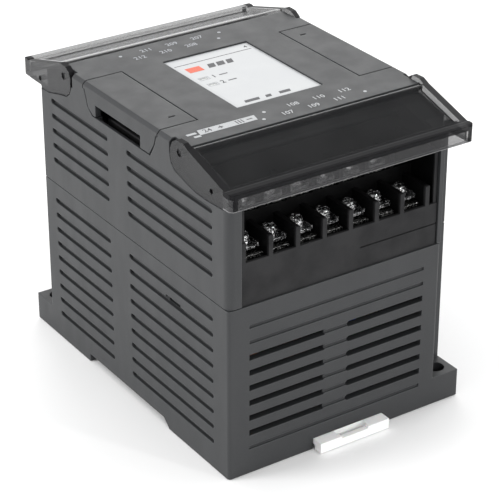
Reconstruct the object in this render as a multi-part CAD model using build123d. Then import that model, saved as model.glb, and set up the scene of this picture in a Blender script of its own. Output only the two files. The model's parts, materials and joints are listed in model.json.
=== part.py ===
from build123d import *
import os

# Analogue input expansion module of a modular PLC, millimetres.
# +Z runs from the mounting back (z = 0) to the label face, X runs along the
# DIN rail and Y across it. The module has half-turn symmetry about its
# vertical centre line, so one of each repeated feature is drawn and turned.

os.makedirs("parts", exist_ok=True)

# ---- driving dimensions -------------------------------------------------
WIDTH = 70.0            # along the rail
LENGTH = 95.0           # across the rail, ears included
HEIGHT = 81.0           # back to label face
PART_Z = 46.3           # parting line between the two housing halves
NOTCH_X = 7.65          # screwdriver notch above each fixing ear
NOTCH_Y = 8.1
EAR_H = 7.6
EAR_HOLE = (66.0, 4.0)
EAR_HOLE_R = 2.25
TOP_BEVEL = 0.85        # long edges of the label face
SEAM = (0.35, 0.25)     # depth and height of the shadow line at the parting
WALL = 2.0
FLOOR = 4.4
HALL_TOP = 70.0         # inner height below the hinge seats

# rail channel and clip
CHANNEL_Y = (29.7, 66.7)
CHANNEL_SLOPE = 2.6
CHANNEL_DEPTH = 2.2
HOOK_DEPTH = 1.0
HOOK_REACH = 1.7
CLIP_X = (25.0, 46.0)
CLIP_OUT = 3.0
CLIP_TOP = 2.8
CLIP_GAP = 0.2
HOOK_SPANS = ((10.0, 26.0), (44.0, 60.0))
HOOK_EDGE = 0.6
CLIP_LEDGE = 1.8        # overhang of the pocket that holds the clip in
CLIP_WEB = 1.2          # thickness of that overhang
CLIP_BACK = 0.4         # play between the grip and the end face
KEEL_Z = 0.2

# vents and grooves
GROOVE_H = 1.4
GROOVE_DEPTH = 1.0
FRONT_GROOVE = (1.0, 0.5)   # height and depth of the blind grooves
SLOT_H = 1.6
LOW_ROWS = 9
LOW_Z = 7.6
LOW_PITCH = 4.24
UP_ROWS = 5
UP_Z = 53.3
UP_PITCH = 4.12
SIDE_COLUMNS = ((6.5, 44.6), (53.5, 81.9))
FRONT_X = (5.9, 57.4)
FRONT_Z = 7.2
FRONT_PITCH = 4.19
FRONT_SLOTS = ((5.9, 27.7), (34.6, 57.4))
LATCH_Y = (20.8, 27.4)
LATCH_Z = (36.65, 38.6)
LATCH_PLAY = 0.6
LATCH_DEPTH = 1.4       # how far the nose sits below the side face
LIP_Y = (46.0, 74.0)    # span of the locating tongues

# terminal bays
BAY_X = (3.8, 61.15)
BAY_Y = 17.5
BAY_WALL = 1.5
PITCH = 7.62
LOWER_X0 = 8.4
UPPER_X0 = 12.2
LOWER_COUNT = 7
UPPER_COUNT = 6
LOWER_Y = 7.0
UPPER_Y = 13.4
LOWER_FRONT = 2.4       # front edge of the contact plates in each row
UPPER_FRONT = 10.8
LOWER_SEAT = 57.2
UPPER_SEAT = 64.4
SILL = 0.4              # sill above the seats of each row
RIB_H = 5.6             # dividing ribs above the seats
PLATE_T = 0.8
PLATE_HALF = 2.7        # half width of a clamp plate
WING_T = 0.5
SCREW_HEAD = (2.15, 2.2)    # radius and height of a terminal screw head
SCREW_SHANK = (1.5, 6.8)    # radius and length below the head
SCREW_BORE_R = 1.55
CLAMP_LIFT = 0.7        # clamp plates stand open, as delivered
LINER = 0.9             # upright walls of the block at the bay ends
LINER_TOP = 72.0
BACK_TOP = 75.4
STEP_Y = 10.0
DIVIDER = 1.2

# covers
PIVOT = (20.3, 79.0)
PIN_R = 0.9
RUN_FIT = 0.06
PLATE_EDGE_Y = 18.3
END_T = 1.5
END_GAP = 0.3
COVER_OUT = 1.3         # lip of a cover beyond the end face
COVER_RIM = 2.3
LIP_Z = 72.4            # lower edge of that lip
LIP_BACK = -0.25        # its inner face
BEAD_TOP = 76.9         # rounded ridge where the lip meets the panel
CORNER_R = 1.2
DOT_R = 0.7             # small holes in the end plates
DOTS_A = ((6.8, 74.7),)
DOTS_B = ((7.7, 74.0),)

# expansion caps
CAP_Y = (30.2, 64.8)
CAP_X = 11.0
CAP_T = 1.6
CAP_FOOT_Z = 73.6
CAP_SLOT_Y = (37.8, 59.1)
CAP_SLOT_Z = 76.7
CAP_GAP = 0.4
CAP_SILL = 0.8          # wall left standing below the cap slot

# label and indicators
LABEL_X = (22.8, 48.2)
LABEL_Y = (30.6, 64.6)
LABEL_SINK = 0.7
LABEL_T = 0.3
INDICATORS = ((26.2, 50.6), (26.2, 46.4))
WINDOW = (1.1, 0.5)     # half sizes of an indicator window

# boards
BOARD_T = 1.6
POWER_Z = 12.0
IO_Z = 40.0
LOGIC_Z = 62.0
POSTS = ((9.0, 24.0), (61.0, 24.0), (9.0, 71.0), (61.0, 71.0))
POST_R = 3.2
THREAD_R = 1.25         # bores that take a stud or a screw
STUD_R = 1.2
SCREW_CLEAR_R = 1.6
BOARD_HEAD = (2.4, 1.7)
BOARD_SHANK = (STUD_R, 5.4)
CHOKE = (20.0, 24.0)
CHOKE_R = 4.6
CHOKE_FLANGE = 1.4
CAPACITORS = ((17, 40, 5.0, 17), (29, 40, 5.0, 17), (40.5, 40, 4.0, 12), (56, 66, 4.0, 12))
PIN_SQUARE = 0.64
PIN_PITCH = 2.54

# Origin: middle of the outer box, on the mounting back.
ORIGIN = Pos(-WIDTH / 2, -(LENGTH + COVER_OUT - CLIP_OUT) / 2, 0)


# ---- helpers ------------------------------------------------------------
def sorted_pair(a, b):
    return (min(a, b), max(a, b))


def block(x, y, z):
    size = (x[1] - x[0], y[1] - y[0], z[1] - z[0])
    middle = ((x[0] + x[1]) / 2, (y[0] + y[1]) / 2, (z[0] + z[1]) / 2)
    return Pos(*middle) * Box(*size)


def rod(x, y, z, r):
    return Pos(x, y, (z[0] + z[1]) / 2) * Cylinder(r, z[1] - z[0])


def rod_x(x, y, z, r):
    middle = ((x[0] + x[1]) / 2, y, z)
    return Pos(*middle) * Rot(0, 90, 0) * Cylinder(r, x[1] - x[0])


def prism(points, z):
    outline = Plane.XY.offset(z[0]) * Polygon(*points, align=None)
    return extrude(outline, z[1] - z[0], dir=(0, 0, 1))


def side_prism(points, x):
    outline = Plane.YZ.offset(x[0]) * Polygon(*points, align=None)
    return extrude(outline, x[1] - x[0], dir=(1, 0, 0))


def turned(shape):
    """Half turn about the vertical centre line of the module."""
    centre = Pos(WIDTH / 2, LENGTH / 2, 0)
    return centre * Rot(0, 0, 180) * centre.inverse() * shape


def pair(shape):
    return [shape, turned(shape)]


def save(name, shapes):
    solids = []
    for shape in shapes:
        solids += list((ORIGIN * shape).solids())
    piece = solids[0] if len(solids) == 1 else Compound(children=solids)
    piece.label = name
    export_step(piece, f"parts/{name}.step")


def plan(inset):
    """Notched outline of the housing, shrunk by inset."""
    near, far = inset, LENGTH - inset
    left, right = inset, WIDTH - inset
    return [
        (left, near), (WIDTH - NOTCH_X - inset, near),
        (WIDTH - NOTCH_X - inset, NOTCH_Y + inset), (right, NOTCH_Y + inset),
        (right, far), (NOTCH_X + inset, far),
        (NOTCH_X + inset, LENGTH - NOTCH_Y - inset), (left, LENGTH - NOTCH_Y - inset),
    ]


def round_corners(body, radius, spots):
    """Round the upright edges standing at the given plan positions."""
    picked = []
    for edge in body.edges().filter_by(Axis.Z):
        at = edge.center()
        if any(abs(at.X - x) < 0.01 and abs(at.Y - y) < 0.01 for x, y in spots):
            picked.append(edge)
    return fillet(picked, radius)


def side_groove(y, z, height, depth):
    length = y[1] - y[0]
    slot = Plane.YZ * Pos((y[0] + y[1]) / 2, z) * SlotOverall(length, height)
    return extrude(slot, depth)


def front_groove(x, z, height, depth):
    return block(x, (-1, depth), (z - height / 2, z + height / 2))


# ---- lower housing ------------------------------------------------------
def clip_pocket():
    """Stepped pocket in the back that guides the rail clip."""
    x0, x1 = CLIP_X
    back = CHANNEL_Y[0] + 1.0
    wide = block((x0 - CLIP_GAP, x1 + CLIP_GAP), (-1, back), (1.0, CLIP_TOP + CLIP_GAP))
    mouth = block((x0 + CLIP_LEDGE, x1 - CLIP_LEDGE), (-1, back), (-1, CLIP_WEB))
    lip = block((x0 - CLIP_GAP, x1 + CLIP_GAP), (-1, 1.4), (-1, CLIP_WEB))
    return [wide, mouth, lip]


def rail_channel():
    y0, y1 = CHANNEL_Y
    profile = [
        (y0 - CHANNEL_SLOPE, -1), (y0 - CHANNEL_SLOPE, 0), (y0, CHANNEL_DEPTH),
        (y1, CHANNEL_DEPTH), (y1, -1),
    ]
    return side_prism(profile, (-1, WIDTH + 1))


def rail_hooks():
    """Fixed noses that catch the far edge of the rail."""
    y1 = CHANNEL_Y[1]
    profile = [
        (y1, 0), (y1 - HOOK_REACH, 0), (y1 - HOOK_REACH, HOOK_EDGE),
        (y1 - 1.2, HOOK_DEPTH), (y1, HOOK_DEPTH),
    ]
    return [side_prism(profile, span) for span in HOOK_SPANS]


def lower_housing():
    ears = block((0, WIDTH), (0, LENGTH), (0, EAR_H))
    body = ears + prism(plan(0), (0, PART_Z))
    body = round_corners(body, 0.8, [(0, 0), (WIDTH, LENGTH), (WIDTH - NOTCH_X, 0), (NOTCH_X, LENGTH)])
    cuts = [prism(plan(WALL), (FLOOR, PART_Z + 1)), rail_channel()]
    cuts += clip_pocket()
    ear_hole = rod(*EAR_HOLE, (-1, EAR_H + 1), EAR_HOLE_R)
    cuts += pair(ear_hole)
    for row in range(LOW_ROWS):
        z = LOW_Z + row * LOW_PITCH
        for column in SIDE_COLUMNS:
            cuts += pair(side_groove(column, z, GROOVE_H, GROOVE_DEPTH))
        z = FRONT_Z + row * FRONT_PITCH
        cuts += pair(front_groove(FRONT_X, z, *FRONT_GROOVE))
        if 0 < row < LOW_ROWS - 2:
            for slot in FRONT_SLOTS:
                cuts += pair(front_groove(slot, z, SLOT_H, WALL + 1))
    cuts += pair(block((-1, WALL + 1), LATCH_Y, LATCH_Z))
    body = body - cuts
    for x, y in POSTS:
        body = body + rod(x, y, (FLOOR - 0.2, POWER_Z), POST_R)
    body = body - [rod(x, y, (POWER_Z - 6.2, POWER_Z + 1), THREAD_R) for x, y in POSTS]
    return body + rail_hooks()


# ---- rail clip ----------------------------------------------------------
def din_clip():
    x0, x1 = CLIP_X
    nose_y = CHANNEL_Y[0] + 1.4
    slide_end = CHANNEL_Y[0] - 3.4
    plate = block((x0, x1), (-CLIP_BACK, slide_end), (CLIP_WEB + CLIP_GAP / 2, CLIP_TOP))
    keel = block((x0 + 2.0, x1 - 2.0), (-CLIP_BACK, slide_end), (KEEL_Z, 1.6))
    grip = block((x0, x1), (-CLIP_OUT, -CLIP_BACK), (0.0, CLIP_TOP))
    profile = [
        (slide_end - 3, KEEL_Z), (nose_y - 1.6, KEEL_Z), (nose_y, 0.6), (nose_y, 0.9),
        (nose_y - 2.0, 0.9), (slide_end, 1.9), (slide_end - 3, 1.9),
    ]
    nose = side_prism(profile, (x0 + 3.5, x1 - 3.5))
    clip = plate + keel + grip + nose
    middle = (x0 + x1) / 2
    lever = block((middle - 4.5, middle + 4.5), (-CLIP_OUT + 1.4, 0.1), (-1, CLIP_TOP + 1))
    saddle = block((middle - 4.0, middle + 4.0), (-CLIP_OUT - 1, 0), (CLIP_TOP - 0.6, CLIP_TOP + 1))
    cuts = [lever, saddle]
    for side in (-1, 1):
        inner = middle + side * 6.2
        arm = block(sorted_pair(inner, inner + side * 0.9), (5.0, 22.0), (-1, CLIP_TOP + 1))
        toe = block(sorted_pair(inner, middle + side * 11), (21.0, 22.0), (-1, CLIP_TOP + 1))
        cuts += [arm, toe]
    relief = block((middle - 3.0, middle + 3.0), (6.0, 20.0), (-1, CLIP_TOP + 1))
    return clip - cuts - relief


# ---- upper housing ------------------------------------------------------
def cap_outline(grow):
    """Side view of an expansion cap flap in the Y-Z plane."""
    y0, y1 = CAP_Y[0] - grow, CAP_Y[1] + grow
    return [
        (y0, HEIGHT), (y0 + 1.4, CAP_FOOT_Z + 3.2), (y0 + 3.6, CAP_FOOT_Z - grow),
        (y1 - 4.4, CAP_FOOT_Z - grow), (y1 - 2.2, CAP_FOOT_Z + 1.4), (y1, HEIGHT),
    ]


END_A = [
    (-COVER_OUT, LIP_Z), (-COVER_OUT, 76.2), (1.0, 76.6), (16.6, 81.1), (18.6, 82.0), (21.5, 81.9),
    (23.3, 80.9), (24.2, 79.2), (24.3, 77.1), (23.8, 75.2), (22.3, 73.9), (19.2, 73.1),
    (16.2, 72.4), (13.2, 71.9), (9.1, 71.8), (4.0, 72.1),
]
END_B = [
    (-COVER_OUT, LIP_Z), (-COVER_OUT, 76.2), (1.0, 76.6), (16.6, 81.1), (18.6, 82.0), (21.5, 81.9),
    (23.1, 80.9), (23.7, 79.2), (23.6, 77.1), (23.0, 75.3), (21.3, 74.0), (18.5, 73.5),
    (12.1, 71.8), (8.4, 71.6), (8.0, 72.3), (4.0, 72.3),
]


def top_bevel():
    """Cutter along the left long edge of the label face."""
    side = TOP_BEVEL * 2 ** 0.5
    return Pos(0, LENGTH / 2, HEIGHT) * Rot(0, 45, 0) * Box(side, LENGTH + 2, side)


def end_recess(profile, x):
    """Seat in a side face for a cover end plate, clear through its swing."""
    outline = offset(Polygon(*profile, align=None), END_GAP)
    seat = extrude(Plane.YZ.offset(x[0]) * outline, x[1] - x[0], dir=(1, 0, 0))
    head = block(x, (-3, PIVOT[0] + 4.4), (PIVOT[1] - 1.9, HEIGHT + 3))
    return seat + head


def upper_housing():
    body = prism(plan(0), (PART_Z, HEIGHT))
    body = round_corners(body, 2.0, [(0, 0), (WIDTH, LENGTH)])
    hall_y = (BAY_Y + BAY_WALL, LENGTH - BAY_Y - BAY_WALL)
    hall = block((WALL, WIDTH - WALL), hall_y, (PART_Z - 1, HALL_TOP))
    attic = block((4, WIDTH - 4), hall_y, (HALL_TOP - 1, HEIGHT - WALL))
    eaves = block((WALL, WIDTH - WALL), (28, LENGTH - 28), (HALL_TOP - 1, HEIGHT - WALL))
    cuts = [hall, attic, eaves]
    seam_z = (PART_Z - 1, PART_Z + SEAM[1])
    cuts.append(prism(plan(-2), seam_z) - prism(plan(SEAM[0]), seam_z))
    cuts += pair(top_bevel())
    cuts += pair(block(BAY_X, (-1, BAY_Y), (PART_Z - 1, HEIGHT + 1)))
    cuts += pair(block((63.2, WIDTH - WALL), (10, BAY_Y + BAY_WALL + 1), (PART_Z - 1, HALL_TOP)))
    shade = [
        (-3, 73.8), (0, 74.3), (17.3, 78.6), (PLATE_EDGE_Y, 78.6),
        (PLATE_EDGE_Y, HEIGHT + 3), (-3, HEIGHT + 3),
    ]
    cuts += pair(side_prism(shade, (-1, WIDTH + 1)))
    cuts += pair(end_recess(END_A, (-1, END_T + END_GAP)))
    cuts += pair(end_recess(END_B, (WIDTH - END_T - END_GAP, WIDTH + 1)))
    for x in ((1, 3.7), (WIDTH - 3.7, WIDTH - 1)):
        cuts += pair(rod_x(x, *PIVOT, PIN_R + 0.03))
    cuts += pair(side_prism(cap_outline(CAP_GAP), (-1, CAP_T + 0.6)))
    cap_bed_y = (CAP_Y[0] - CAP_GAP, CAP_Y[1] + CAP_GAP)
    cuts += pair(block((-1, CAP_X + CAP_GAP), cap_bed_y, (HEIGHT - CAP_T - 0.2, HEIGHT + 1)))
    cuts += pair(block((2, CAP_X - 1), (CAP_Y[0] + 3, CAP_Y[1] - 3), (HEIGHT - 4, HEIGHT + 1)))
    cuts += pair(block((CAP_SILL, WALL + 1), CAP_SLOT_Y, (CAP_FOOT_Z - 3, CAP_FOOT_Z + 1)))
    cuts.append(block(LABEL_X, LABEL_Y, (HEIGHT - LABEL_SINK, HEIGHT + 1)))
    for x, y in INDICATORS:
        cuts.append(window(x, y, 0, (HEIGHT - 4, HEIGHT + 1)))
    for row in range(UP_ROWS):
        for column in SIDE_COLUMNS:
            cuts += pair(side_groove(column, UP_Z + row * UP_PITCH, GROOVE_H, GROOVE_DEPTH))
    body = body - cuts
    return body + pair(joint_lip()) + pair(latch())


def joint_lip():
    """Tongue that hangs inside the lower half and lines the two halves up."""
    tongue = block((WALL + 0.1, WALL + 1.2), LIP_Y, (PART_Z - 2, PART_Z))
    root = block((WALL - 0.4, WALL + 1.2), LIP_Y, (PART_Z, PART_Z + 3))
    return tongue + root


def latch():
    """Snap arm whose nose shows in the window of the lower half."""
    y = (LATCH_Y[0] + LATCH_PLAY, LATCH_Y[1] - LATCH_PLAY)
    arm = block((WALL + 0.2, WALL + 1.6), y, (LATCH_Z[0] - 0.15, PART_Z + 3))
    foot = block((WALL - 0.4, WALL + 1.6), y, (PART_Z, PART_Z + 3))
    nose = block((LATCH_DEPTH, WALL + 1), y, (LATCH_Z[0] + 0.25, LATCH_Z[1] - 0.3))
    return arm + foot + nose


# ---- terminal covers ----------------------------------------------------
def terminal_cover():
    """Smoked flap with a sloped panel, a front lip and two end plates."""
    panel = [(1.0, 76.6), (16.6, 81.1), (17.2, 81.1), (17.2, 79.3), (0.6, 74.6)]
    tray = [
        (2.4, 76.0), (13.2, 79.1), (15.2, 80.0), (16.3, 81.2),
        (16.3, HEIGHT + 2), (2.4, HEIGHT + 2),
    ]
    lip = [
        (-COVER_OUT, LIP_Z), (LIP_BACK, LIP_Z), (LIP_BACK, 75.2), (0.6, 74.6), (1.4, 76.7),
        (0.9, BEAD_TOP), (-0.6, BEAD_TOP), (-1.1, BEAD_TOP - 0.2), (-COVER_OUT, BEAD_TOP - 0.6),
    ]
    cover = side_prism(panel, (0, WIDTH)) + side_prism(lip, (0, WIDTH))
    cover = cover + side_prism(END_A, (0, END_T))
    cover = cover + side_prism(END_B, (WIDTH - END_T, WIDTH))
    cuts = [side_prism(tray, (COVER_RIM, WIDTH - COVER_RIM))]
    cuts.append(rod_x((-1, WIDTH + 1), *PIVOT, PIN_R + RUN_FIT))
    cuts += [rod_x((-1, 3), *spot, DOT_R) for spot in DOTS_A]
    cuts += [rod_x((WIDTH - 3, WIDTH + 1), *spot, DOT_R) for spot in DOTS_B]
    return round_corners(cover, CORNER_R, [(0, -COVER_OUT), (WIDTH, -COVER_OUT)]) - cuts


def hinge_pins():
    return [
        rod_x((0.3, 3.6), *PIVOT, PIN_R),
        rod_x((WIDTH - 3.6, WIDTH - 0.3), *PIVOT, PIN_R),
    ]


# ---- terminal blocks ----------------------------------------------------
def cells():
    """Every terminal: screw x and y, front edge of its plate, and seat height."""
    lower = [(LOWER_X0 + i * PITCH, LOWER_Y, LOWER_FRONT, LOWER_SEAT) for i in range(LOWER_COUNT)]
    upper = [(UPPER_X0 + i * PITCH, UPPER_Y, UPPER_FRONT, UPPER_SEAT) for i in range(UPPER_COUNT)]
    return lower + upper


def contact_leg(x, y, seat, grow):
    """Solder leg below one terminal cell."""
    leg_y = y + 1.9
    half = 0.6 + grow
    thin = 0.4 + grow
    return block((x - half, x + half), (leg_y - thin, leg_y + thin), (IO_Z - 1.2, seat + PLATE_T))


def terminal_block():
    """Two-tier barrier block with sills, ribs and walls that line the bay."""
    x0, x1 = BAY_X[0] + 0.25, BAY_X[1] - 0.25
    back = BAY_Y - 0.2
    sill_low, sill_high = LOWER_SEAT + SILL, UPPER_SEAT + SILL
    profile = [
        (0.5, PART_Z), (0.5, sill_low), (1.3, sill_low), (1.3, LOWER_SEAT),
        (STEP_Y, LOWER_SEAT), (STEP_Y, sill_high), (STEP_Y + 0.6, sill_high), (STEP_Y + 0.6, UPPER_SEAT),
        (back - 0.8, UPPER_SEAT), (back - 0.8, BACK_TOP), (back, BACK_TOP), (back, PART_Z),
    ]
    body = side_prism(profile, (x0, x1))
    for wall in ((x0, x0 + LINER), (x1 - LINER, x1)):
        body = body + block(wall, (0.8, back), (PART_Z, LINER_TOP))
    for i in range(LOWER_COUNT + 1):
        x = LOWER_X0 + (i - 0.5) * PITCH
        span = (max(x - DIVIDER / 2, x0), x + DIVIDER / 2)
        body = body + block(span, (0.5, STEP_Y), (LOWER_SEAT, LOWER_SEAT + RIB_H))
    for i in range(UPPER_COUNT + 1):
        x = UPPER_X0 + (i - 0.5) * PITCH
        span = (x - DIVIDER / 2, x + DIVIDER / 2)
        body = body + block(span, (STEP_Y, back), (UPPER_SEAT, UPPER_SEAT + RIB_H))
    cuts = []
    for x, y, front, seat in cells():
        cuts.append(rod(x, y, (seat - 5.2, seat + 1), SCREW_BORE_R))
        cuts.append(contact_leg(x, y, seat, 0.05))
    seam = block((38.0, x1 + 1), (0, 0.8), (PART_Z + 5.5, PART_Z + 5.9))
    return body - cuts - seam


def contacts():
    pieces = []
    for x, y, front, seat in cells():
        plate = block((x - 2.8, x + 2.8), (front, y + 2.4), (seat, seat + PLATE_T))
        piece = plate + contact_leg(x, y, seat, 0)
        pieces.append(piece - rod(x, y, (seat - 1, seat + 2), SCREW_CLEAR_R))
    return pieces


def clamp_plates():
    """Square plates with turned-up sides, one under each screw head."""
    pieces = []
    for x, y, front, seat in cells():
        z = seat + PLATE_T + CLAMP_LIFT
        span = (max(front + 0.2, y - 3.2), y + 2.4)
        plate = block((x - PLATE_HALF, x + PLATE_HALF), span, (z, z + PLATE_T))
        for side in (-1, 1):
            wing = sorted_pair(x + side * (PLATE_HALF - WING_T), x + side * PLATE_HALF)
            plate = plate + block(wing, span, (z, z + PLATE_T + 0.6))
        pieces.append(plate - rod(x, y, (z - 1, z + 2), SCREW_CLEAR_R))
    return pieces


def machine_screw(x, y, z, head_size, shank_size):
    """Pan-head screw with a cross recess, head seated at z."""
    head_r, head_h = head_size
    shank_r, shank_l = shank_size
    head = Pos(x, y, z + head_h / 2) * Cylinder(head_r, head_h)
    top = head.edges().filter_by(GeomType.CIRCLE).sort_by(Axis.Z)[-1]
    head = chamfer(top, head_h * 0.3)
    screw = head + rod(x, y, (z - shank_l, z + 0.1), shank_r)
    arm = head_r * 0.62
    slot = head_r * 0.13
    deep = (z + head_h * 0.4, z + head_h + 1)
    cross = [
        block((x - arm, x + arm), (y - slot, y + slot), deep),
        block((x - slot, x + slot), (y - arm, y + arm), deep),
    ]
    return screw - cross


def terminal_screws():
    lift = 2 * PLATE_T + CLAMP_LIFT
    return [machine_screw(x, y, seat + lift, SCREW_HEAD, SCREW_SHANK) for x, y, front, seat in cells()]


# ---- expansion caps -----------------------------------------------------
def expansion_cap():
    top = block((0, CAP_X), CAP_Y, (HEIGHT - CAP_T, HEIGHT))
    flap = side_prism(cap_outline(0), (0, CAP_T))
    cap = top + flap
    slot = block((-1, CAP_T + 1), CAP_SLOT_Y, (CAP_FOOT_Z - 1, CAP_SLOT_Z))
    pry = block((6.2, 8.0), (34.6, 35.2), (HEIGHT - 0.5, HEIGHT + 1))
    return cap - slot - pry - top_bevel()


# ---- label and light pipes ----------------------------------------------
def window(x, y, inset, z):
    half_x, half_y = WINDOW[0] - inset, WINDOW[1] - inset
    return block((x - half_x, x + half_x), (y - half_y, y + half_y), z)


def label_sheet():
    z = HEIGHT - LABEL_SINK
    x = (LABEL_X[0] + 0.1, LABEL_X[1] - 0.1)
    y = (LABEL_Y[0] + 0.1, LABEL_Y[1] - 0.1)
    sheet = block(x, y, (z, z + LABEL_T))
    return sheet - [window(a, b, 0, (z - 1, z + 1)) for a, b in INDICATORS]


def light_pipes():
    pipes = []
    for x, y in INDICATORS:
        stem = window(x, y, 0.1, (LOGIC_Z + BOARD_T + 1.4, HEIGHT - LABEL_SINK + LABEL_T - 0.1))
        collar = block((x - 2.0, x + 2.0), (y - 1.3, y + 1.3), (HEIGHT - WALL - 1.2, HEIGHT - WALL))
        pipes.append(stem + collar)
    return pipes


# ---- boards and their hardware ------------------------------------------
def bores(z, r):
    return [rod(x, y, (z - 1, z + BOARD_T + 1), r) for x, y in POSTS]


def pin_grid(x, y, columns, rows):
    spots = []
    for i in range(columns):
        for j in range(rows):
            px = x + (i - (columns - 1) / 2) * PIN_PITCH
            py = y + (j - (rows - 1) / 2) * PIN_PITCH
            spots.append((px, py))
    return spots


def square_pins(spots, z, grow=0.0):
    half = PIN_SQUARE / 2 + grow
    return [block((x - half, x + half), (y - half, y + half), z) for x, y in spots]


POWER_LINK = pin_grid(57.0, 47.5, 2, 6)
LOGIC_LINK = pin_grid(35.0, 26.0, 8, 2)
EXPANSION = pin_grid(6.8, 47.5, 2, 8)
PIN_CLEAR = 0.03


def power_board():
    z = (POWER_Z, POWER_Z + BOARD_T)
    board = block((5, 65), (13, 82), z)
    return board - bores(POWER_Z, SCREW_CLEAR_R) - square_pins(POWER_LINK, (z[0] - 1, z[1] + 1), PIN_CLEAR)


def io_board():
    z = (IO_Z, IO_Z + BOARD_T)
    board = prism(plan(4.0), z)
    cuts = bores(IO_Z, SCREW_CLEAR_R)
    for x, y, front, seat in cells():
        cuts += pair(contact_leg(x, y, seat, 0.05))
    through = (z[0] - 1, z[1] + 1)
    cuts += square_pins(POWER_LINK, through, PIN_CLEAR) + square_pins(LOGIC_LINK, through, PIN_CLEAR)
    return board - cuts


def logic_board():
    z = (LOGIC_Z, LOGIC_Z + BOARD_T)
    board = block((3.6, WIDTH - 3.6), (20.0, 75.0), z)
    through = (z[0] - 1, z[1] + 1)
    cuts = bores(LOGIC_Z, SCREW_CLEAR_R) + square_pins(LOGIC_LINK, through, PIN_CLEAR)
    for pin in square_pins(EXPANSION, through, PIN_CLEAR):
        cuts += pair(pin)
    return board - cuts


def standoffs(z):
    """Hexagonal spacers, stud down and threaded bore up."""
    pieces = []
    for x, y in POSTS:
        body = extrude(Plane.XY.offset(z[0]) * Pos(x, y) * RegularPolygon(2.75, 6), z[1] - z[0])
        stud = rod(x, y, (z[0] - 5.6, z[0] + 0.1), STUD_R)
        pieces.append(body + stud - rod(x, y, (z[1] - 6.6, z[1] + 1), THREAD_R))
    return pieces


def board_screws():
    return [machine_screw(x, y, LOGIC_Z + BOARD_T, BOARD_HEAD, BOARD_SHANK) for x, y in POSTS]


def link_carriers(spots, x, y, low, high):
    """Insulator strips at both ends of a row of board link pins."""
    strips = []
    for z in ((low, low + 2.5), (high - 2.5, high)):
        strip = block(x, y, z)
        strips.append(strip - square_pins(spots, (z[0] - 1, z[1] + 1), PIN_CLEAR))
    return strips


def expansion_header():
    base = LOGIC_Z + BOARD_T
    shell = block((3.8, 9.8), (35.5, 59.5), (base, base + 8.6))
    shell = shell - block((4.6, 9.0), (36.6, 58.4), (base + 2.2, base + 9))
    key = block((8.8, 10), (45.6, 49.4), (base + 3.4, base + 9))
    return shell - key - square_pins(EXPANSION, (base - 1, base + 3), PIN_CLEAR)


def chip(x, y, z, size, leads, lead_side):
    """Moulded package with gull-wing leads along two sides."""
    half_x, half_y = size[0] / 2, size[1] / 2
    body = block((x - half_x, x + half_x), (y - half_y, y + half_y), (z + 0.15, z + size[2]))
    long = half_x if lead_side == "x" else half_y
    step = (2 * long - 1.0) / (leads - 1)
    for i in range(leads):
        along = -long + 0.5 + i * step
        for side in (-1, 1):
            if lead_side == "x":
                out = sorted_pair(y + side * (half_y - 0.2), y + side * (half_y + 0.9))
                lead = block((x + along - 0.2, x + along + 0.2), out, (z, z + 0.5))
            else:
                out = sorted_pair(x + side * (half_x - 0.2), x + side * (half_x + 0.9))
                lead = block(out, (y + along - 0.2, y + along + 0.2), (z, z + 0.5))
            body = body + lead
    dot = rod(x - half_x + 1.0, y - half_y + 1.0, (z + size[2] - 0.15, z + size[2] + 1), 0.4)
    return body - dot


def converter():
    z = POWER_Z + BOARD_T
    can = block((22, 43), (52, 73), (z, z + 10))
    can = fillet(can.edges().filter_by(Axis.Z), 1.0)
    return can


def capacitors():
    z = POWER_Z + BOARD_T
    pieces = []
    for x, y, r, h in CAPACITORS:
        can = rod(x, y, (z + 0.4, z + h), r)
        can = fillet(can.edges().filter_by(GeomType.CIRCLE).sort_by(Axis.Z)[-1], 0.5)
        foot = rod(x, y, (z, z + 0.6), r - 0.6)
        vent = block((x - r * 0.6, x + r * 0.6), (y - 0.15, y + 0.15), (z + h - 0.2, z + h + 1))
        pieces.append(can + foot - vent)
    return pieces


def choke():
    z = POWER_Z + BOARD_T
    base = rod(*CHOKE, (z, z + CHOKE_FLANGE), CHOKE_R)
    core = rod(*CHOKE, (z + 1, z + 8), 2.4)
    head = rod(*CHOKE, (z + 7, z + 7 + CHOKE_FLANGE), CHOKE_R)
    return base + core + head


def choke_winding():
    z = POWER_Z + BOARD_T
    ring = rod(*CHOKE, (z + CHOKE_FLANGE + 0.2, z + 6.9), CHOKE_R - 0.5)
    return ring - rod(*CHOKE, (z, z + 9), 2.5)


def fuse():
    z = POWER_Z + BOARD_T
    return rod(34, 22, (z, z + 8), 4.2)


def varistor():
    z = POWER_Z + BOARD_T
    disc = Pos(48, 22, z + 5.6) * Rot(90, 0, 0) * Cylinder(4.6, 3.4)
    legs = [block((x - 0.4, x + 0.4), (21.6, 22.4), (z, z + 3)) for x in (45.6, 50.4)]
    return disc + legs


def isolators():
    z = IO_Z + BOARD_T
    return [chip(x, y, z, (7.5, 10.0, 2.4), 2, "x") for x in (22, 35, 48) for y in (36, 60)]


def input_filters():
    z = IO_Z + BOARD_T
    pieces = []
    for i in range(5):
        x = 16 + i * 9.4
        for y in (75.0, 71.5):
            pieces.append(block((x - 1.6, x + 1.6), (y - 0.9, y + 0.9), (z, z + 1.0)))
    return pieces


def converter_chip():
    return chip(18.0, 48.0, IO_Z + BOARD_T, (5.3, 7.2, 1.8), 8, "y")


def processor():
    z = LOGIC_Z + BOARD_T
    body = block((30, 40), (42, 52), (z + 0.15, z + 1.5))
    for i in range(12):
        along = -4.4 + i * 0.8
        for side in (-1, 1):
            out = sorted_pair(35 + side * 4.8, 35 + side * 6.0)
            body = body + block(out, (47 + along - 0.15, 47 + along + 0.15), (z, z + 0.4))
            out = sorted_pair(47 + side * 4.8, 47 + side * 6.0)
            body = body + block((35 + along - 0.15, 35 + along + 0.15), out, (z, z + 0.4))
    return body


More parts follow.
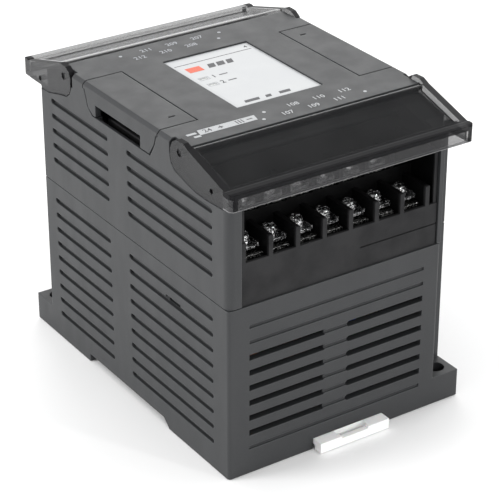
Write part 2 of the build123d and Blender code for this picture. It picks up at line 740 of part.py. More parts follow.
def crystal():
    z = LOGIC_Z + BOARD_T
    can = block((46, 50), (44, 55), (z, z + 3.2))
    return fillet(can.edges().filter_by(Axis.Z), 1.7)


def status_leds():
    z = LOGIC_Z + BOARD_T
    return [block((x - 1.0, x + 1.0), (y - 0.6, y + 0.6), (z, z + 0.8)) for x, y in INDICATORS]


# ---- export -------------------------------------------------------------
def main():
    cover = terminal_cover()
    block_near = terminal_block()
    cap = expansion_cap()
    header = expansion_header()
    header_pins = square_pins(EXPANSION, (LOGIC_Z - 1.0, LOGIC_Z + BOARD_T + 7.0))
    logic_pins_z = (IO_Z - 1.0, LOGIC_Z + BOARD_T + 1.0)
    power_pins_z = (POWER_Z - 1.0, IO_Z + BOARD_T + 1.0)
    logic_strips = link_carriers(LOGIC_LINK, (24.6, 45.4), (23.4, 28.6), IO_Z + BOARD_T, LOGIC_Z)
    power_strips = link_carriers(POWER_LINK, (54.4, 59.6), (39.8, 55.2), POWER_Z + BOARD_T, IO_Z)

    save("lower_housing", [lower_housing()])
    save("upper_housing", [upper_housing()])
    save("din_clip", [din_clip()])
    save("front_terminal_cover", [cover])
    save("rear_terminal_cover", [turned(cover)])
    save("front_hinge_pins", hinge_pins())
    save("rear_hinge_pins", [turned(pin) for pin in hinge_pins()])
    save("front_terminal_block", [block_near])
    save("rear_terminal_block", [turned(block_near)])
    save("front_terminal_screws", terminal_screws())
    save("rear_terminal_screws", [turned(item) for item in terminal_screws()])
    save("front_clamp_plates", clamp_plates())
    save("rear_clamp_plates", [turned(item) for item in clamp_plates()])
    save("front_terminal_contacts", contacts())
    save("rear_terminal_contacts", [turned(item) for item in contacts()])
    save("left_expansion_cap", [cap])
    save("right_expansion_cap", [turned(cap)])
    save("left_expansion_header", [header])
    save("right_expansion_header", [turned(header)])
    save("left_expansion_pins", header_pins)
    save("right_expansion_pins", [turned(pin) for pin in header_pins])
    save("label_sheet", [label_sheet()])
    save("light_pipes", light_pipes())
    save("power_board", [power_board()])
    save("io_board", [io_board()])
    save("logic_board", [logic_board()])
    save("lower_standoffs", standoffs((POWER_Z + BOARD_T, IO_Z)))
    save("upper_standoffs", standoffs((IO_Z + BOARD_T, LOGIC_Z)))
    save("board_screws", board_screws())
    save("logic_link_strips", logic_strips)
    save("logic_link_pins", square_pins(LOGIC_LINK, logic_pins_z))
    save("power_link_strips", power_strips)
    save("power_link_pins", square_pins(POWER_LINK, power_pins_z))
    save("power_converter", [converter()])
    save("bulk_capacitors", capacitors())
    save("choke_core", [choke()])
    save("choke_winding", [choke_winding()])
    save("supply_fuse", [fuse()])
    save("surge_varistor", [varistor()])
    save("signal_isolators", isolators())
    save("input_filters", input_filters())
    save("converter_chip", [converter_chip()])
    save("processor_chip", [processor()])
    save("crystal", [crystal()])
    save("status_leds", status_leds())


main()
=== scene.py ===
import json
import math

import bpy
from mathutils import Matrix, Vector


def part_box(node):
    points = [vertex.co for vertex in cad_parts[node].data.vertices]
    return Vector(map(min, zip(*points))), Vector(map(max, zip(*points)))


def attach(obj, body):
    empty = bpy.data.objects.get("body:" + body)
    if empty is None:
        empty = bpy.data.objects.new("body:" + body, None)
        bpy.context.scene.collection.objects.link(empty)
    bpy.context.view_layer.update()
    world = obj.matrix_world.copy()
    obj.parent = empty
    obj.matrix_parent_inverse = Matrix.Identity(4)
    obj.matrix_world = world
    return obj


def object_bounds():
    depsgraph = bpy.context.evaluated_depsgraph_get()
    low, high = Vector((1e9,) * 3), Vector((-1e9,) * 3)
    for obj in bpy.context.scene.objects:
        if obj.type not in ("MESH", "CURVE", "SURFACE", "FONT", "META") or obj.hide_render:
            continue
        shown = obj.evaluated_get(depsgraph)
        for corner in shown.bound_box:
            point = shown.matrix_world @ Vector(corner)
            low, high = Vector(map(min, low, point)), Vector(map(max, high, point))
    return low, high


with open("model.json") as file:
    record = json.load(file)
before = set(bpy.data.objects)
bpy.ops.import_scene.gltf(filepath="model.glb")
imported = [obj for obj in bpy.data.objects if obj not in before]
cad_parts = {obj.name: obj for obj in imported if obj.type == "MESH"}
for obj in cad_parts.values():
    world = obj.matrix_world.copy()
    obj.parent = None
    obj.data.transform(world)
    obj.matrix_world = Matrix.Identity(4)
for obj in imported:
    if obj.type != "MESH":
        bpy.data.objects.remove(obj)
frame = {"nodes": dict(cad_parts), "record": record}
cad_low, cad_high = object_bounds()
MM = 0.001


# ---- places read from the frame -------------------------------------------
plate_low, plate_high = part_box("upper_housing")
label_low, label_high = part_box("label_sheet")
screws_low, screws_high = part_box("front_terminal_screws")
cover_low, cover_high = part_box("front_terminal_cover")
block_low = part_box("front_terminal_block")[0]
TOP_Z = plate_high.z
MIDDLE = Vector(((plate_low.x + plate_high.x) / 2, (plate_low.y + plate_high.y) / 2, 0))
BLOCK_FRONT = MIDDLE.y - block_low.y
COVER_HALF_W = (cover_high.x - cover_low.x) / 2
HALF_LENGTH = MIDDLE.y - plate_low.y

# zones of a terminal cover
COVER_RIM = 1.9 * MM
LIP_FROM = HALF_LENGTH - 2.0 * MM
BEAD_Z = cover_low.z + 3.9 * MM
# below this height the lower edge of the lip gets a painted highlight line
FOOT_Z = cover_low.z + 0.95 * MM
BACK_TO = HALF_LENGTH - 15.2 * MM


# ---- node helpers -----------------------------------------------------------
def toned(color, gain, lift=0.0):
    """The colour made lighter or darker, and no channel above 1."""
    return tuple(min(1, channel * gain + lift) for channel in color)


class Shader:
    """A small wrapper that adds and links nodes of one material."""

    def __init__(self, name):
        self.material = bpy.data.materials.new(name)
        self.material.use_nodes = True
        self.tree = self.material.node_tree
        self.bsdf = self.tree.nodes["Principled BSDF"]
        self.coords = self.node("ShaderNodeTexCoord").outputs["Object"]

    def node(self, kind, **values):
        made = self.tree.nodes.new(kind)
        for key, value in values.items():
            setattr(made, key, value)
        return made

    def link(self, source, target):
        self.tree.links.new(source, target)

    def set(self, **values):
        for key, value in values.items():
            self.bsdf.inputs[key.replace("_", " ")].default_value = value

    def texture(self, kind, size, vector=None, **values):
        """A texture node whose features are about size metres across."""
        made = self.node(kind, **values)
        self.link(vector or self.coords, made.inputs["Vector"])
        made.inputs["Scale"].default_value = 1 / size
        return made

    def stretched(self, scale):
        """The object's coordinates, scaled along each axis."""
        mapping = self.node("ShaderNodeMapping")
        mapping.inputs["Scale"].default_value = scale
        self.link(self.coords, mapping.inputs["Vector"])
        return mapping.outputs["Vector"]

    def noise(self, size, detail=3.0, roughness=0.5, vector=None):
        made = self.texture("ShaderNodeTexNoise", size, vector)
        made.inputs["Detail"].default_value = detail
        made.inputs["Roughness"].default_value = roughness
        return made.outputs["Fac"]

    def levels(self, fac, low, high, at=(0.35, 0.65)):
        """Maps a 0 to 1 value onto low to high."""
        made = self.node("ShaderNodeMapRange")
        made.inputs["From Min"].default_value = at[0]
        made.inputs["From Max"].default_value = at[1]
        made.inputs["To Min"].default_value = low
        made.inputs["To Max"].default_value = high
        self.link(fac, made.inputs["Value"])
        return made.outputs["Result"]

    def mix(self, fac, first, second):
        """Colour that goes from first to second as fac goes from 0 to 1."""
        made = self.node("ShaderNodeMix", data_type="RGBA")
        self.put(fac, made.inputs[0])
        self.put(first, made.inputs[6])
        self.put(second, made.inputs[7])
        return made.outputs[2]

    def put(self, value, socket):
        """Links value if it is a socket, otherwise sets it as a number or a colour."""
        if isinstance(value, bpy.types.NodeSocket):
            self.link(value, socket)
        elif isinstance(value, tuple) and len(value) == 3:
            socket.default_value = (*value, 1)
        else:
            socket.default_value = value

    def math(self, operation, first, second):
        made = self.node("ShaderNodeMath", operation=operation)
        self.put(first, made.inputs[0])
        self.put(second, made.inputs[1])
        return made.outputs["Value"]

    def step(self, value, limit):
        """1 where value is above limit, otherwise 0."""
        return self.math("GREATER_THAN", value, limit)

    def both(self, first, second):
        """1 where both masks are 1."""
        return self.math("MULTIPLY", first, second)

    def either(self, first, second):
        """The stronger of two masks."""
        return self.math("MAXIMUM", first, second)

    def outside(self, mask):
        """1 where the mask is 0."""
        return self.math("SUBTRACT", 1.0, mask)

    def away(self, value, centre):
        """Distance of value from centre."""
        return self.math("ABSOLUTE", self.math("SUBTRACT", value, centre), 0.0)

    def split(self, vector):
        made = self.node("ShaderNodeSeparateXYZ")
        self.link(vector, made.inputs["Vector"])
        return made.outputs

    def edges(self, radius):
        """Mask that is 1 along outside and inside edges, and the rounded normal."""
        bevel = self.node("ShaderNodeBevel", samples=6)
        bevel.inputs["Radius"].default_value = radius
        flat = self.node("ShaderNodeNewGeometry").outputs["Normal"]
        dot = self.node("ShaderNodeVectorMath", operation="DOT_PRODUCT")
        self.link(bevel.outputs["Normal"], dot.inputs[0])
        self.link(flat, dot.inputs[1])
        mask = self.levels(dot.outputs["Value"], 1, 0, at=(0.72, 0.98))
        return mask, bevel.outputs["Normal"]

    def bump(self, height, strength, distance, normal=None):
        made = self.node("ShaderNodeBump")
        made.inputs["Strength"].default_value = strength
        made.inputs["Distance"].default_value = distance
        self.link(height, made.inputs["Height"])
        if normal:
            self.link(normal, made.inputs["Normal"])
        return made.outputs["Normal"]

    def finish(self, color, roughness, normal):
        """Puts the main inputs on the shader and gives back its material."""
        self.put(color, self.bsdf.inputs["Base Color"])
        self.put(roughness, self.bsdf.inputs["Roughness"])
        if normal:
            self.link(normal, self.bsdf.inputs["Normal"])
        return self.material


# ---- materials --------------------------------------------------------------
def moulded(name, color, edge_highlight, roughness=0.5):
    """Spark-eroded moulded plastic: fine grain, cloudy tone and a painted highlight along the edges."""
    s = Shader(name)
    mask, normal = s.edges(0.35 * MM)
    cloud = s.noise(14 * MM, detail=5)
    grain = s.noise(0.35 * MM, detail=2, roughness=0.6)
    smear = s.noise(5 * MM, detail=4, vector=s.stretched((1, 1, 0.35)))
    tone = s.mix(s.levels(cloud, 0, 1), toned(color, 0.95), toned(color, 1.05))
    tone = s.mix(s.levels(grain, 0, 0.22), tone, toned(color, 1.5))
    # painted highlight: the edges are lightened towards the paler edge colour
    tone = s.mix(s.levels(mask, 0, 0.55, at=(0, 1)), tone, edge_highlight)
    s.set(Specular_IOR_Level=0.42)
    rough = s.levels(smear, roughness - 0.03, roughness + 0.04)
    return s.finish(tone, rough, s.bump(grain, 0.35, 0.03 * MM, normal))


def cover_zones(s):
    """Masks of the zones of both terminal covers: end plates, the lower edge of the lip where a painted
    highlight line goes, dark rims, panel of the rear cover, which gets a painted reflection, and lip of
    the front cover."""
    place = s.split(s.coords)
    facing = s.split(s.node("ShaderNodeTexCoord").outputs["Normal"])
    out = s.away(place["Y"], MIDDLE.y)
    front = s.step(MIDDLE.y, place["Y"])
    end = s.step(s.away(place["X"], MIDDLE.x), COVER_HALF_W - COVER_RIM)
    lip = s.step(out, LIP_FROM)
    # lower edge of the lip, which gets a painted highlight line
    lip_foot_highlight = s.both(lip, s.step(FOOT_Z, place["Z"]))
    end_rim = s.both(end, s.step(0.5, s.away(facing["X"], 0.0)))
    ridge = s.both(lip, s.step(place["Z"], BEAD_Z))
    ridge = s.both(ridge, s.levels(front, 0.12, 1.0, at=(0, 1)))
    upright = s.step(s.away(facing["Y"], 0.0), 0.9)
    back = s.both(upright, s.step(BACK_TO, out))
    rim = s.either(end_rim, s.either(ridge, s.both(back, 0.6)))
    # panel of the rear cover, which gets a painted reflection
    rear_panel_reflection = s.both(s.outside(front), s.outside(end))
    front_lip = s.both(s.both(lip, front), s.outside(rim))
    return end, lip_foot_highlight, rim, rear_panel_reflection, front_lip


def smoked(name):
    """Smoked clear polycarbonate, dark where a thick rim is seen along its length, with a painted
    reflection on the rear panel and a painted highlight line at the lower edge of the lip.
    """
    s = Shader(name)
    end, lip_foot_highlight, rim, rear_panel_reflection, front_lip = cover_zones(s)
    haze = s.noise(9 * MM, detail=4)
    tint = s.mix(s.levels(haze, 0, 1), (0.009, 0.0095, 0.0105), (0.015, 0.0155, 0.0165))
    # painted reflection: the rear cover's panel is painted pale
    tint = s.mix(rear_panel_reflection, tint, (0.14, 0.141, 0.143))
    tint = s.mix(end, tint, (0.028, 0.0285, 0.030))
    tint = s.mix(rim, tint, (0.005, 0.005, 0.006))
    tint = s.mix(front_lip, tint, (0.050, 0.050, 0.052))
    # painted highlight line at the lower edge of the lip
    tint = s.mix(lip_foot_highlight, tint, (0.24, 0.24, 0.245))
    s.set(IOR=1.50, Specular_IOR_Level=0.22, Sheen_Weight=0.15, Sheen_Roughness=0.3)
    glance = s.node("ShaderNodeLayerWeight").outputs["Facing"]
    clear = s.levels(glance, 0.52, 0.97, at=(0.40, 0.72))
    alpha = s.either(clear, s.levels(rim, 0.0, 0.95, at=(0, 1)))
    # the painted highlight line is kept mostly opaque
    alpha = s.either(alpha, s.both(lip_foot_highlight, 0.75))
    s.link(alpha, s.bsdf.inputs["Alpha"])
    gloss = s.either(s.levels(haze, 0.05, 0.09), s.both(rim, 0.85))
    return s.finish(tint, gloss, None)


def bright_metal(name, color, roughness=0.18, dull=(0.20, 0.20, 0.21)):
    """Plated metal whose uneven skin breaks highlights into sparkles, with a painted highlight along
    the edges.
    """
    s = Shader(name)
    mask, normal = s.edges(0.12 * MM)
    marks = s.noise(0.5 * MM, detail=3, roughness=0.6)
    tone = s.mix(s.levels(marks, 0, 1, at=(0.46, 0.56)), dull, color)
    # painted highlight: the edges are lightened to near white
    tone = s.mix(s.levels(mask, 0, 0.5, at=(0, 1)), tone, (0.95, 0.95, 0.95))
    s.set(Metallic=1.0)
    rough = s.levels(marks, roughness - 0.05, roughness + 0.12)
    return s.finish(tone, rough, s.bump(marks, 0.9, 0.25 * MM, normal))


def barrier(name):
    """Terminal block: front faces keep the plastic's tone, painted shade makes the cells behind nearly
    black, and the edges get a painted highlight.
    """
    s = Shader(name)
    mask, normal = s.edges(0.15 * MM)
    out = s.away(s.split(s.coords)["Y"], MIDDLE.y)
    # painted shade: faces set back more than a millimetre from the block's front are darkened
    front = s.levels(out, 0, 1, at=(BLOCK_FRONT - 1.0 * MM, BLOCK_FRONT - 0.3 * MM))
    grain = s.noise(0.3 * MM, detail=2)
    cloud = s.noise(7 * MM, detail=5)
    skin = s.mix(s.levels(cloud, 0, 1), (0.020, 0.020, 0.021), (0.030, 0.030, 0.031))
    # painted shade colour for the cells behind the front faces
    tone = s.mix(front, (0.0025, 0.0025, 0.0027), skin)
    # painted highlight along the edges
    tone = s.mix(s.levels(mask, 0, 0.5, at=(0, 1)), tone, (0.020, 0.020, 0.021))
    s.set(Specular_IOR_Level=0.07)
    return s.finish(tone, s.levels(grain, 0.42, 0.58), s.bump(grain, 0.25, 0.02 * MM, normal))


def nylon(name):
    """Natural nylon, slightly translucent, with flow clouds and a painted highlight along the edges."""
    s = Shader(name)
    mask, normal = s.edges(0.3 * MM)
    cloud = s.noise(4 * MM, detail=4)
    grain = s.noise(0.4 * MM, detail=2)
    tone = s.mix(s.levels(cloud, 0, 1), (0.92, 0.92, 0.915), (0.96, 0.96, 0.955))
    # painted highlight: the edges are lightened
    tone = s.mix(s.levels(mask, 0, 0.6, at=(0, 1)), tone, (0.97, 0.97, 0.965))
    s.set(Subsurface_Weight=0.1, Subsurface_Scale=1.5 * MM, Specular_IOR_Level=0.4)
    return s.finish(tone, s.levels(cloud, 0.34, 0.5), s.bump(grain, 0.15, 0.02 * MM, normal))


def foil(name):
    """Satin printed foil: nearly white, with a faint woven lacquer and handling marks."""
    s = Shader(name)
    cloud = s.noise(11 * MM, detail=4)
    weave = s.noise(0.3 * MM, detail=2)
    tone = s.mix(s.levels(cloud, 0, 1), (0.48, 0.49, 0.50), (0.52, 0.53, 0.535))
    s.set(Specular_IOR_Level=0.3)
    return s.finish(tone, s.levels(cloud, 0.42, 0.5), s.bump(weave, 0.08, 0.01 * MM))


def ink(name, color):
    """Screen-printed ink with slightly broken coverage."""
    s = Shader(name)
    cover = s.noise(0.22 * MM, detail=3, roughness=0.7)
    tone = s.mix(s.levels(cover, 0, 1), toned(color, 0.82), toned(color, 1.15, 0.01))
    return s.finish(tone, s.levels(cover, 0.45, 0.6), s.bump(cover, 0.1, 0.01 * MM))


def solder_mask(name):
    """Green circuit board: traces under the mask, pads and glass weave."""
    s = Shader(name)
    bricks = s.texture("ShaderNodeTexBrick", 9 * MM, offset=0.37, squash=1.6)
    bricks.inputs["Mortar Size"].default_value = 0.05
    bricks.inputs["Mortar Smooth"].default_value = 0.1
    cells = s.texture("ShaderNodeTexVoronoi", 4.5 * MM, feature="DISTANCE_TO_EDGE")
    vias = s.texture("ShaderNodeTexVoronoi", 3.1 * MM)
    weave = s.noise(0.6 * MM, detail=2)
    trace = s.levels(cells.outputs["Distance"], 1, 0, at=(0.03, 0.05))
    tone = s.mix(trace, (0.012, 0.11, 0.045), (0.03, 0.21, 0.08))
    tone = s.mix(bricks.outputs["Fac"], tone, (0.02, 0.16, 0.07))
    pad = s.levels(vias.outputs["Distance"], 1, 0, at=(0.10, 0.13))
    tone = s.mix(pad, tone, (0.62, 0.60, 0.52))
    s.set(Specular_IOR_Level=0.6, Coat_Weight=0.3, Coat_Roughness=0.15)
    return s.finish(tone, s.levels(weave, 0.26, 0.4), s.bump(trace, 0.3, 0.03 * MM))


def dipped(name, color, roughness=0.3):
    """Glossy dip, sleeve or lacquered part, with a painted highlight along the edges."""
    s = Shader(name)
    mask, normal = s.edges(0.2 * MM)
    cloud = s.noise(3 * MM, detail=4)
    tone = s.mix(s.levels(cloud, 0, 1), toned(color, 0.8), toned(color, 1.2))
    # painted highlight: the edges are lightened to twice the colour
    tone = s.mix(s.levels(mask, 0, 0.4, at=(0, 1)), tone, toned(color, 2, 0.05))
    rough = s.levels(cloud, roughness - 0.06, roughness + 0.08)
    return s.finish(tone, rough, s.bump(cloud, 0.1, 0.05 * MM, normal))


def wound(name):
    """Enamelled copper wire wound round a vertical spool."""
    s = Shader(name)
    wave = s.texture("ShaderNodeTexWave", 2.6 * MM, wave_type="BANDS", bands_direction="Z")
    wave.inputs["Distortion"].default_value = 0.6
    tone = s.mix(wave.outputs["Fac"], (0.16, 0.045, 0.015), (0.62, 0.25, 0.10))
    s.set(Metallic=0.8)
    return s.finish(tone, 0.3, s.bump(wave.outputs["Fac"], 0.8, 0.15 * MM))


def clear_acrylic(name):
    """Frosted clear acrylic with a faint green cast."""
    s = Shader(name)
    cloud = s.noise(1.5 * MM, detail=3)
    tone = s.mix(s.levels(cloud, 0, 1), (0.72, 0.75, 0.72), (0.86, 0.88, 0.86))
    s.set(Transmission_Weight=0.55, IOR=1.49)
    return s.finish(tone, s.levels(cloud, 0.16, 0.3), s.bump(cloud, 0.05, 0.02 * MM))


HOUSING = (0.0255, 0.0267, 0.0285)
MATERIALS = {
    # the second colour given to moulded is the painted highlight for its edges
    "housing": moulded("charcoal_plastic", HOUSING, (0.10, 0.104, 0.11)),
    "clip_plastic": nylon("natural_nylon"),
    "smoked": smoked("smoked_polycarbonate"),
    "pin_steel": bright_metal("pin_steel", (0.07, 0.07, 0.075), 0.35, dull=(0.02, 0.02, 0.02)),
    "block_plastic": barrier("terminal_black"),
    "screw_chrome": bright_metal("screw_nickel", (0.90, 0.90, 0.91), 0.12, dull=(0.04, 0.04, 0.04)),
    "plate_chrome": bright_metal("clamp_nickel", (0.55, 0.55, 0.56), 0.14, dull=(0.03, 0.03, 0.03)),
    "contact_brass": bright_metal("contact_tin", (0.30, 0.30, 0.29), 0.25, dull=(0.04, 0.04, 0.04)),
    "header_plastic": moulded("header_black", (0.02, 0.02, 0.021), (0.06, 0.06, 0.06), 0.45),
    "pin_gold": bright_metal("pin_gold", (0.85, 0.64, 0.25), 0.2),
    "label": foil("label_foil"),
    "light_pipe": clear_acrylic("light_pipe_acrylic"),
    "board": solder_mask("board_mask"),
    "brass_hex": bright_metal("hexagon_brass", (0.78, 0.60, 0.28), 0.25),
    "zinc": bright_metal("zinc_plate", (0.66, 0.68, 0.70), 0.28),
    "converter_can": bright_metal("converter_can", (0.10, 0.10, 0.105), 0.35),
    "cap_sleeve": dipped("capacitor_sleeve", (0.02, 0.03, 0.075)),
    "ferrite": moulded("ferrite", (0.05, 0.05, 0.055), (0.12, 0.12, 0.12), 0.6),
    "copper": wound("copper_winding"),
    "fuse_cap": dipped("fuse_cap", (0.09, 0.035, 0.02)),
    "varistor_blue": dipped("varistor_epoxy", (0.02, 0.07, 0.30)),
    "chip_epoxy": moulded("chip_epoxy", (0.022, 0.022, 0.024), (0.10, 0.10, 0.10), 0.5),
    "ceramic": dipped("chip_ceramic", (0.36, 0.27, 0.17), 0.45),
    "crystal_can": bright_metal("crystal_can", (0.72, 0.73, 0.74), 0.2),
    "led": dipped("led_epoxy", (0.55, 0.72, 0.42), 0.25),
}


def paint(node, material):
    """Gives a CAD node its material."""
    slots = frame["nodes"][node].data.materials
    slots.clear()
    slots.append(material)


for part in frame["record"]["subparts"]:
    paint(part["node"], MATERIALS[part["material_slot"]])


# ---- printed marks ----------------------------------------------------------
PRINT_T = 0.03 * MM
PRINT_SINK = 0.01 * MM
TEXT_SIZE = 2.3 * MM
DISC_SIDES = 20


class Print:
    """Collects thin printed shapes on one level face into a single piece."""

    def __init__(self, name, z, material, slot):
        self.name = name
        self.z = z
        self.material = material
        self.slot = slot
        self.verts = []
        self.faces = []

    def slab(self, outline):
        """Adds a thin prism with the given outline, listed anticlockwise."""
        start, count = len(self.verts), len(outline)
        for z in (self.z - PRINT_SINK, self.z + PRINT_T):
            self.verts += [(x, y, z) for x, y in outline]
        ring = range(count)
        self.faces.append([start + i for i in reversed(ring)])
        self.faces.append([start + count + i for i in ring])
        for i in ring:
            j = (i + 1) % count
            self.faces.append([start + i, start + j, start + count + j, start + count + i])

    def bar(self, x, y, width, height, lean=0.0):
        """Adds a bar. Lean shifts its upper edge one way and its lower edge the other way."""
        half_w, half_h = width / 2, height / 2
        self.slab([
            (x - half_w - lean, y - half_h), (x + half_w - lean, y - half_h),
            (x + half_w + lean, y + half_h), (x - half_w + lean, y + half_h),
        ])

    def disc(self, x, y, radius):
        angles = [2 * math.pi * i / DISC_SIDES for i in range(DISC_SIDES)]
        self.slab([(x + radius * math.cos(a), y + radius * math.sin(a)) for a in angles])

    def frame(self, x, y, width, height, line):
        """Adds four thin bars round a box."""
        for side in (-1, 1):
            self.bar(x + side * (width - line) / 2, y, line, height)
            self.bar(x, y + side * (height - line) / 2, width - 2 * line, line)

    def number(self, text, x, y, size=TEXT_SIZE):
        """Adds figures centred on a place."""
        curve = bpy.data.curves.new("glyphs", "FONT")
        curve.body = text
        curve.size = size
        curve.extrude = (PRINT_T + PRINT_SINK) / 2
        curve.align_x = "CENTER"
        curve.align_y = "CENTER"
        curve.resolution_u = 3
        curve.offset = size * 0.008
        holder = bpy.data.objects.new("glyphs", curve)
        bpy.context.scene.collection.objects.link(holder)
        mesh = bpy.data.meshes.new_from_object(holder)
        start = len(self.verts)
        lift = self.z + (PRINT_T - PRINT_SINK) / 2
        self.verts += [(v.co.x + x, v.co.y + y, v.co.z + lift) for v in mesh.vertices]
        self.faces += [[start + i for i in p.vertices] for p in mesh.polygons]
        bpy.data.objects.remove(holder)
        bpy.data.curves.remove(curve)
        bpy.data.meshes.remove(mesh)

    def make(self):
        """Turns what was collected into a piece that rides on the housing."""
        mesh = bpy.data.meshes.new(self.name)
        mesh.from_pydata(self.verts, [], self.faces)
        mesh.materials.append(self.material)
        piece = bpy.data.objects.new(self.name, mesh)
        bpy.context.scene.collection.objects.link(piece)
        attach(piece, "housing")


def turned(x, y):
    """The same place after the module's half turn."""
    return 2 * MIDDLE.x - x, 2 * MIDDLE.y - y


WHITE_INK = ink("white_ink", (0.40, 0.41, 0.42))
GREY_INK = ink("grey_ink", (0.30, 0.31, 0.33))
DARK_INK = ink("dark_ink", (0.045, 0.045, 0.05))
SIGNAL_INK = ink("signal_ink", (0.62, 0.10, 0.045))

LOWER_COUNT = 7                 # terminals in the lower tier of a bay
NUMBERED = (3, 4, 5)            # cells whose terminals have a number
UNUSED = (2.1, 2.4, 6.0)        # places of the dots, in pitches from the first terminal
DOT_R = 0.45 * MM
SCREW_HEAD_R = 2.15 * MM
BAY_DEPTH = 18.3 * MM           # from the end of the plate to its level face
first_x = screws_low.x + SCREW_HEAD_R
pitch = (screws_high.x - screws_low.x - 2 * SCREW_HEAD_R) / (LOWER_COUNT - 1)
plate_edge = plate_low.y + BAY_DEPTH
LOWER_MARK = plate_edge + 3.2 * MM
UPPER_MARK = plate_edge + 6.6 * MM


def terminal_numbers(name, material, place, first):
    """Two staggered rows of terminal numbers beside one hinge line, and dots for unused ones."""
    marks = Print(name, TOP_Z, material, "label")
    for i in NUMBERED:
        marks.number(str(first + 2 * i), *place(first_x + i * pitch, LOWER_MARK))
        marks.number(str(first + 2 * i + 1), *place(first_x + (i + 0.5) * pitch, UPPER_MARK))
    for pitches, y in zip(UNUSED, (LOWER_MARK, UPPER_MARK, LOWER_MARK)):
        marks.disc(*place(first_x + pitches * pitch, y), DOT_R)
    return marks


STRIP_L, STRIP_W, STRIP_LEAN = 16.0 * MM, 2.6 * MM, 0.3 * MM
HEADING_H = 0.9 * MM
SIGN_L, SIGN_LINE = 1.3 * MM, 0.3 * MM
GROUND_L = 1.7 * MM
MINUS_L, MINUS_LINE = 1.6 * MM, 0.35 * MM


def supply_strip(marks, x, y):
    """White strip beside the supply terminals, with two short bars in place of its heading."""
    marks.bar(x, y, STRIP_L, STRIP_W, STRIP_LEAN)
    marks.bar(x - 9.9 * MM, y + 0.2 * MM, 2.6 * MM, HEADING_H)
    marks.bar(x - 9.3 * MM, y - 1.6 * MM, 1.8 * MM, HEADING_H)


def supply_symbols(marks, x, y):
    """Voltage, plus, ground and minus signs printed over the strip."""
    marks.number("24", x - 5.6 * MM, y)
    plus_x = x - 1.9 * MM
    marks.bar(plus_x, y, SIGN_L, SIGN_LINE)
    marks.bar(plus_x, y, SIGN_LINE, SIGN_L)
    for i in range(3):
        marks.bar(x + (2.6 + 0.8 * i) * MM, y, SIGN_LINE, GROUND_L)
    marks.bar(x + 6.2 * MM, y, MINUS_L, MINUS_LINE)


strip_place = (first_x + 7.0 * MM, (LOWER_MARK + UPPER_MARK) / 2 + 0.3 * MM)

near_numbers = terminal_numbers("near_terminal_numbers", WHITE_INK, lambda x, y: (x, y), 101)
supply_strip(near_numbers, *strip_place)
near_numbers.make()
supply = Print("near_supply_symbols", TOP_Z + PRINT_T, DARK_INK, "label")
supply_symbols(supply, *strip_place)
supply.make()
terminal_numbers("far_terminal_numbers", GREY_INK, turned, 201).make()


# ---- label printing -----------------------------------------------------------
face_z = label_high.z
label_w = label_high.x - label_low.x
label_h = label_high.y - label_low.y
label_x = (label_low.x + label_high.x) / 2
TOP_ROW, RULE_ROW, HEAD_ROW = 0.935, 0.885, 0.77    # as parts of the label's height
ROWS = (0.588, 0.465)
LAST_ROW = 0.075
WINDOW_X, SQUARE_X, FIGURE_X = 0.135, 0.18, 0.25      # as parts of the label's width
DASH_X, HEAD_X, CORNER_X = 0.36, 0.38, 0.93
HEAD_BARS = (2.0, 2.2, 1.8)                           # widths in mm
LAST_BARS = (4.2, 1.6, 3.2)
HAIRLINE = 0.12 * MM
MARGIN = 0.3 * MM
WINDOW_W, WINDOW_H = 2.9 * MM, 1.7 * MM


def across(part):
    """X at this part of the label's width."""
    return label_low.x + part * label_w


def up(part):
    """Y at this part of the label's height."""
    return label_low.y + part * label_h


def dark_marks():
    """Rule, heading bars, indicator numbers and the bars of the bottom line."""
    dark = Print("label_dark_print", face_z, DARK_INK, "label")
    dark.bar(label_x, up(RULE_ROW), label_w * 0.92, 0.22 * MM)
    for i, width in enumerate(HEAD_BARS):
        dark.bar(across(HEAD_X) + 2.7 * MM * i, up(HEAD_ROW), width * MM, 2.3 * MM, 0.35 * MM)
    for text, row in zip("12", ROWS):
        dark.number(text, across(FIGURE_X), up(row), 2.4 * MM)
        dark.bar(across(DASH_X), up(row), 2.4 * MM, 0.4 * MM)
    for i, width in enumerate(LAST_BARS):
        dark.bar(across(0.24 + 0.19 * i), up(LAST_ROW), width * MM, 1.3 * MM, 0.2 * MM)
    dark.number("4", across(CORNER_X), up(TOP_ROW), 1.9 * MM)
    dark.make()


def grey_marks():
    """Border of the label and frames round the indicator windows."""
    grey = Print("label_grey_print", face_z, GREY_INK, "label")
    grey.frame(label_x, up(0.5), label_w - 2 * MARGIN, label_h - 2 * MARGIN, HAIRLINE)
    for row in ROWS:
        grey.frame(across(WINDOW_X), up(row), WINDOW_W, WINDOW_H, HAIRLINE)
    grey.make()


def signal_mark():
    """Plain coloured block at the head of the label."""
    signal = Print("label_signal_mark", face_z, SIGNAL_INK, "label")
    signal.bar(across(SQUARE_X), up(HEAD_ROW), 4.2 * MM, 2.9 * MM)
    signal.make()


dark_marks()
grey_marks()
signal_mark()


# ---- stage, light and camera ----------------------------------------------------
FLOOR_GAP = 0.2 * MM
WORLD_STRENGTH = 0.82


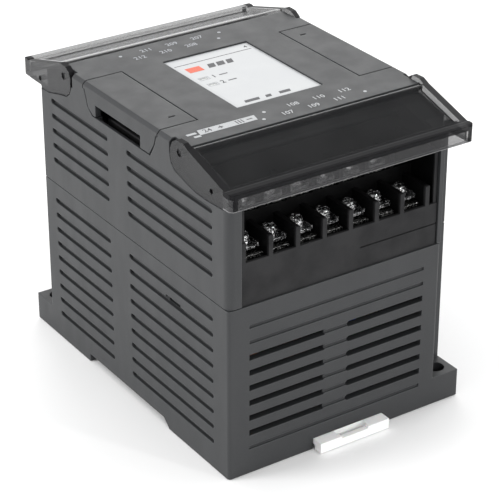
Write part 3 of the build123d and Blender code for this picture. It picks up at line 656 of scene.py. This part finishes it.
def stage_floor():
    """Pale floor, a hair below the object."""
    mesh = bpy.data.meshes.new("floor")
    reach = 3.0
    z = cad_low.z - FLOOR_GAP
    corners = [(-reach, -reach, z), (reach, -reach, z), (reach, reach, z), (-reach, reach, z)]
    mesh.from_pydata(corners, [], [(0, 1, 2, 3)])
    floor = bpy.data.objects.new("floor", mesh)
    bpy.context.scene.collection.objects.link(floor)
    s = Shader("studio_floor")
    tone = s.mix(s.noise(0.2, detail=2), (0.90, 0.90, 0.90), (0.93, 0.93, 0.93))
    mesh.materials.append(s.finish(tone, 0.65, None))


def area_light(name, position, target, size, power):
    """Round white lamp, size metres across, turned to its target."""
    data = bpy.data.lights.new(name, "AREA")
    data.shape = "DISK"
    data.size = size
    data.energy = power
    lamp = bpy.data.objects.new(name, data)
    lamp.location = position
    lamp.rotation_euler = (Vector(target) - Vector(position)).to_track_quat("-Z", "Y").to_euler()
    bpy.context.scene.collection.objects.link(lamp)


stage_floor()
aim = (cad_low + cad_high) / 2
area_light("key", (-0.95, 0.35, 0.50), aim, 0.5, 8.0)
area_light("top", (-0.10, 0.05, 1.0), aim, 0.8, 1.3)
area_light("floor_right", (0.80, 0.15, 0.40), (0.25, 0.05, 0.0), 0.5, 2.5)
area_light("back", (0.55, 0.85, 0.50), aim, 0.7, 2.2)
area_light("spark_left", (-0.25, -0.85, 0.42), aim, 0.06, 1.4)
area_light("spark_right", (0.35, -0.80, 0.30), aim, 0.06, 1.4)
world = bpy.data.worlds.new("studio")
bpy.context.scene.world = world
world.use_nodes = True
world.node_tree.nodes["Background"].inputs["Color"].default_value = (1, 1, 1, 1)
world.node_tree.nodes["Background"].inputs["Strength"].default_value = WORLD_STRENGTH

camera_data = bpy.data.cameras.new("camera")
camera = bpy.data.objects.new("camera", camera_data)
bpy.context.scene.collection.objects.link(camera)
bpy.context.scene.camera = camera
CAMERA_PLACE = Vector((-252.7, -379.2, 274.1)) * MM
CAMERA_AZIMUTH = 33.76          # degrees from +Y towards +X
CAMERA_DROP = 27.30             # degrees below level
camera_data.sensor_width = 36.0
camera_data.lens = 143.4
camera_data.shift_x = 0.0104
camera_data.shift_y = -0.0486
camera.location = CAMERA_PLACE
azimuth, drop = math.radians(CAMERA_AZIMUTH), math.radians(CAMERA_DROP)
look = Vector((math.sin(azimuth) * math.cos(drop), math.cos(azimuth) * math.cos(drop), -math.sin(drop)))
camera.rotation_euler = look.to_track_quat("-Z", "Y").to_euler()
camera_data.clip_start = 0.01
bpy.context.scene.view_settings.view_transform = "Standard"
